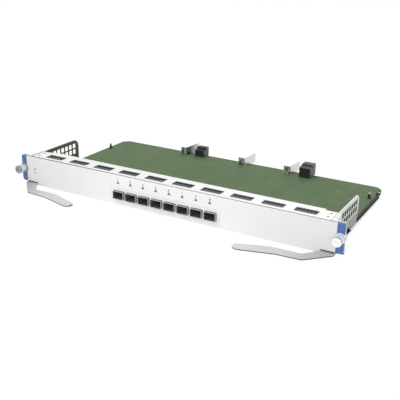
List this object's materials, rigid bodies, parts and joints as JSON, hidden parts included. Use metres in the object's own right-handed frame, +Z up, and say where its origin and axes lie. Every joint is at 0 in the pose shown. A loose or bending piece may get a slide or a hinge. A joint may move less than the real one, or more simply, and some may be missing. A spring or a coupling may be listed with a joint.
{
  "type": "switch line card",
  "caption": "Network switch line card: white face panel with a row of transceiver ports, green board on a steel tray, ejector levers and thumbscrews at both ends.",
  "frame": {"origin": "centre of the tray's underside", "axes": "+X along the face panel to its right-hand end, +Y from the panel back to the connectors, +Z up"},
  "size_m": [0.4186, 0.2604, 0.036],
  "materials": {
    "painted_panel": "satin",
    "plated_sheet": "satin",
    "spring_copper": "satin",
    "laminate": "matte",
    "cast_aluminium": "satin",
    "blue_plastic": "satin",
    "bright_steel": "bright",
    "dark_steel": "satin",
    "cage_sheet": "satin",
    "guide_sheet": "satin",
    "black_plastic": "matte",
    "chip_plastic": "satin",
    "clear_plastic": "gloss"
  },
  "bodies": {
    "card": {"front_panel": "painted_panel", "shield_frame": "plated_sheet", "bottom_tray": "plated_sheet", "right_side_bracket": "plated_sheet", "left_side_bracket": "plated_sheet", "contact_springs": "spring_copper", "circuit_board": "laminate", "right_end_bracket": "cast_aluminium", "left_end_bracket": "cast_aluminium", "right_upper_cover": "blue_plastic", "left_upper_cover": "blue_plastic", "right_lower_cover": "blue_plastic", "left_lower_cover": "blue_plastic", "right_screw_ferrule": "bright_steel", "left_screw_ferrule": "bright_steel", "right_screw_spring": "bright_steel", "left_screw_spring": "bright_steel", "right_lever_pivot": "bright_steel", "left_lever_pivot": "bright_steel", "board_standoffs": "bright_steel", "frame_rivets": "dark_steel", "guide_posts": "dark_steel", "port_cage_1": "cage_sheet", "port_cage_2": "cage_sheet", "port_cage_3": "cage_sheet", "port_cage_4": "cage_sheet", "port_cage_5": "cage_sheet", "port_cage_6": "cage_sheet", "port_cage_7": "cage_sheet", "port_cage_8": "cage_sheet", "left_guide_bracket": "guide_sheet", "middle_guide_bracket": "guide_sheet", "right_guide_bracket": "guide_sheet", "port_connector_1": "black_plastic", "port_connector_2": "black_plastic", "port_connector_3": "black_plastic", "port_connector_4": "black_plastic", "port_connector_5": "black_plastic", "port_connector_6": "black_plastic", "port_connector_7": "black_plastic", "port_connector_8": "black_plastic", "power_connector": "black_plastic", "signal_connector": "black_plastic", "right_edge_rail": "black_plastic", "left_edge_rail": "black_plastic", "right_interface_chip": "chip_plastic", "left_interface_chip": "chip_plastic", "light_pipe_bar": "clear_plastic", "status_light_pipe": "clear_plastic"},
    "right_lever": {"right_ejector_lever": "cast_aluminium"},
    "left_lever": {"left_ejector_lever": "cast_aluminium"},
    "right_screw_carrier": {"right_screw_washer": "bright_steel"},
    "left_screw_carrier": {"left_screw_washer": "bright_steel"},
    "right_screw": {"right_captive_screw": "bright_steel"},
    "left_screw": {"left_captive_screw": "bright_steel"}
  },
  "joints": [
    {"name": "right_lever_turn", "type": "hinge", "parent": "card", "child": "right_lever", "pos_m": [0.1925, -0.08475, 0.0016], "axis": [0, 0, 1], "range_deg": [0, 60]},
    {"name": "right_screw_push", "type": "slide", "parent": "card", "child": "right_screw_carrier", "axis": [0, 1, 0], "range_m": [0, 0.0034], "stiffness_N_per_m": 250, "springref_m": -0.003, "deforming": ["right_screw_spring"]},
    {"name": "right_screw_turn", "type": "hinge", "parent": "right_screw_carrier", "child": "right_screw", "pos_m": [0.2035, -0.09475, 0.02], "axis": [0, 1, 0], "continuous": true},
    {"name": "left_lever_turn", "type": "hinge", "parent": "card", "child": "left_lever", "pos_m": [-0.1925, -0.08475, 0.0016], "axis": [0, 0, -1], "range_deg": [0, 60]},
    {"name": "left_screw_push", "type": "slide", "parent": "card", "child": "left_screw_carrier", "axis": [0, 1, 0], "range_m": [0, 0.0034], "stiffness_N_per_m": 250, "springref_m": -0.003, "deforming": ["left_screw_spring"]},
    {"name": "left_screw_turn", "type": "hinge", "parent": "left_screw_carrier", "child": "left_screw", "pos_m": [-0.2035, -0.09475, 0.02], "axis": [0, 1, 0], "continuous": true}
  ]
}
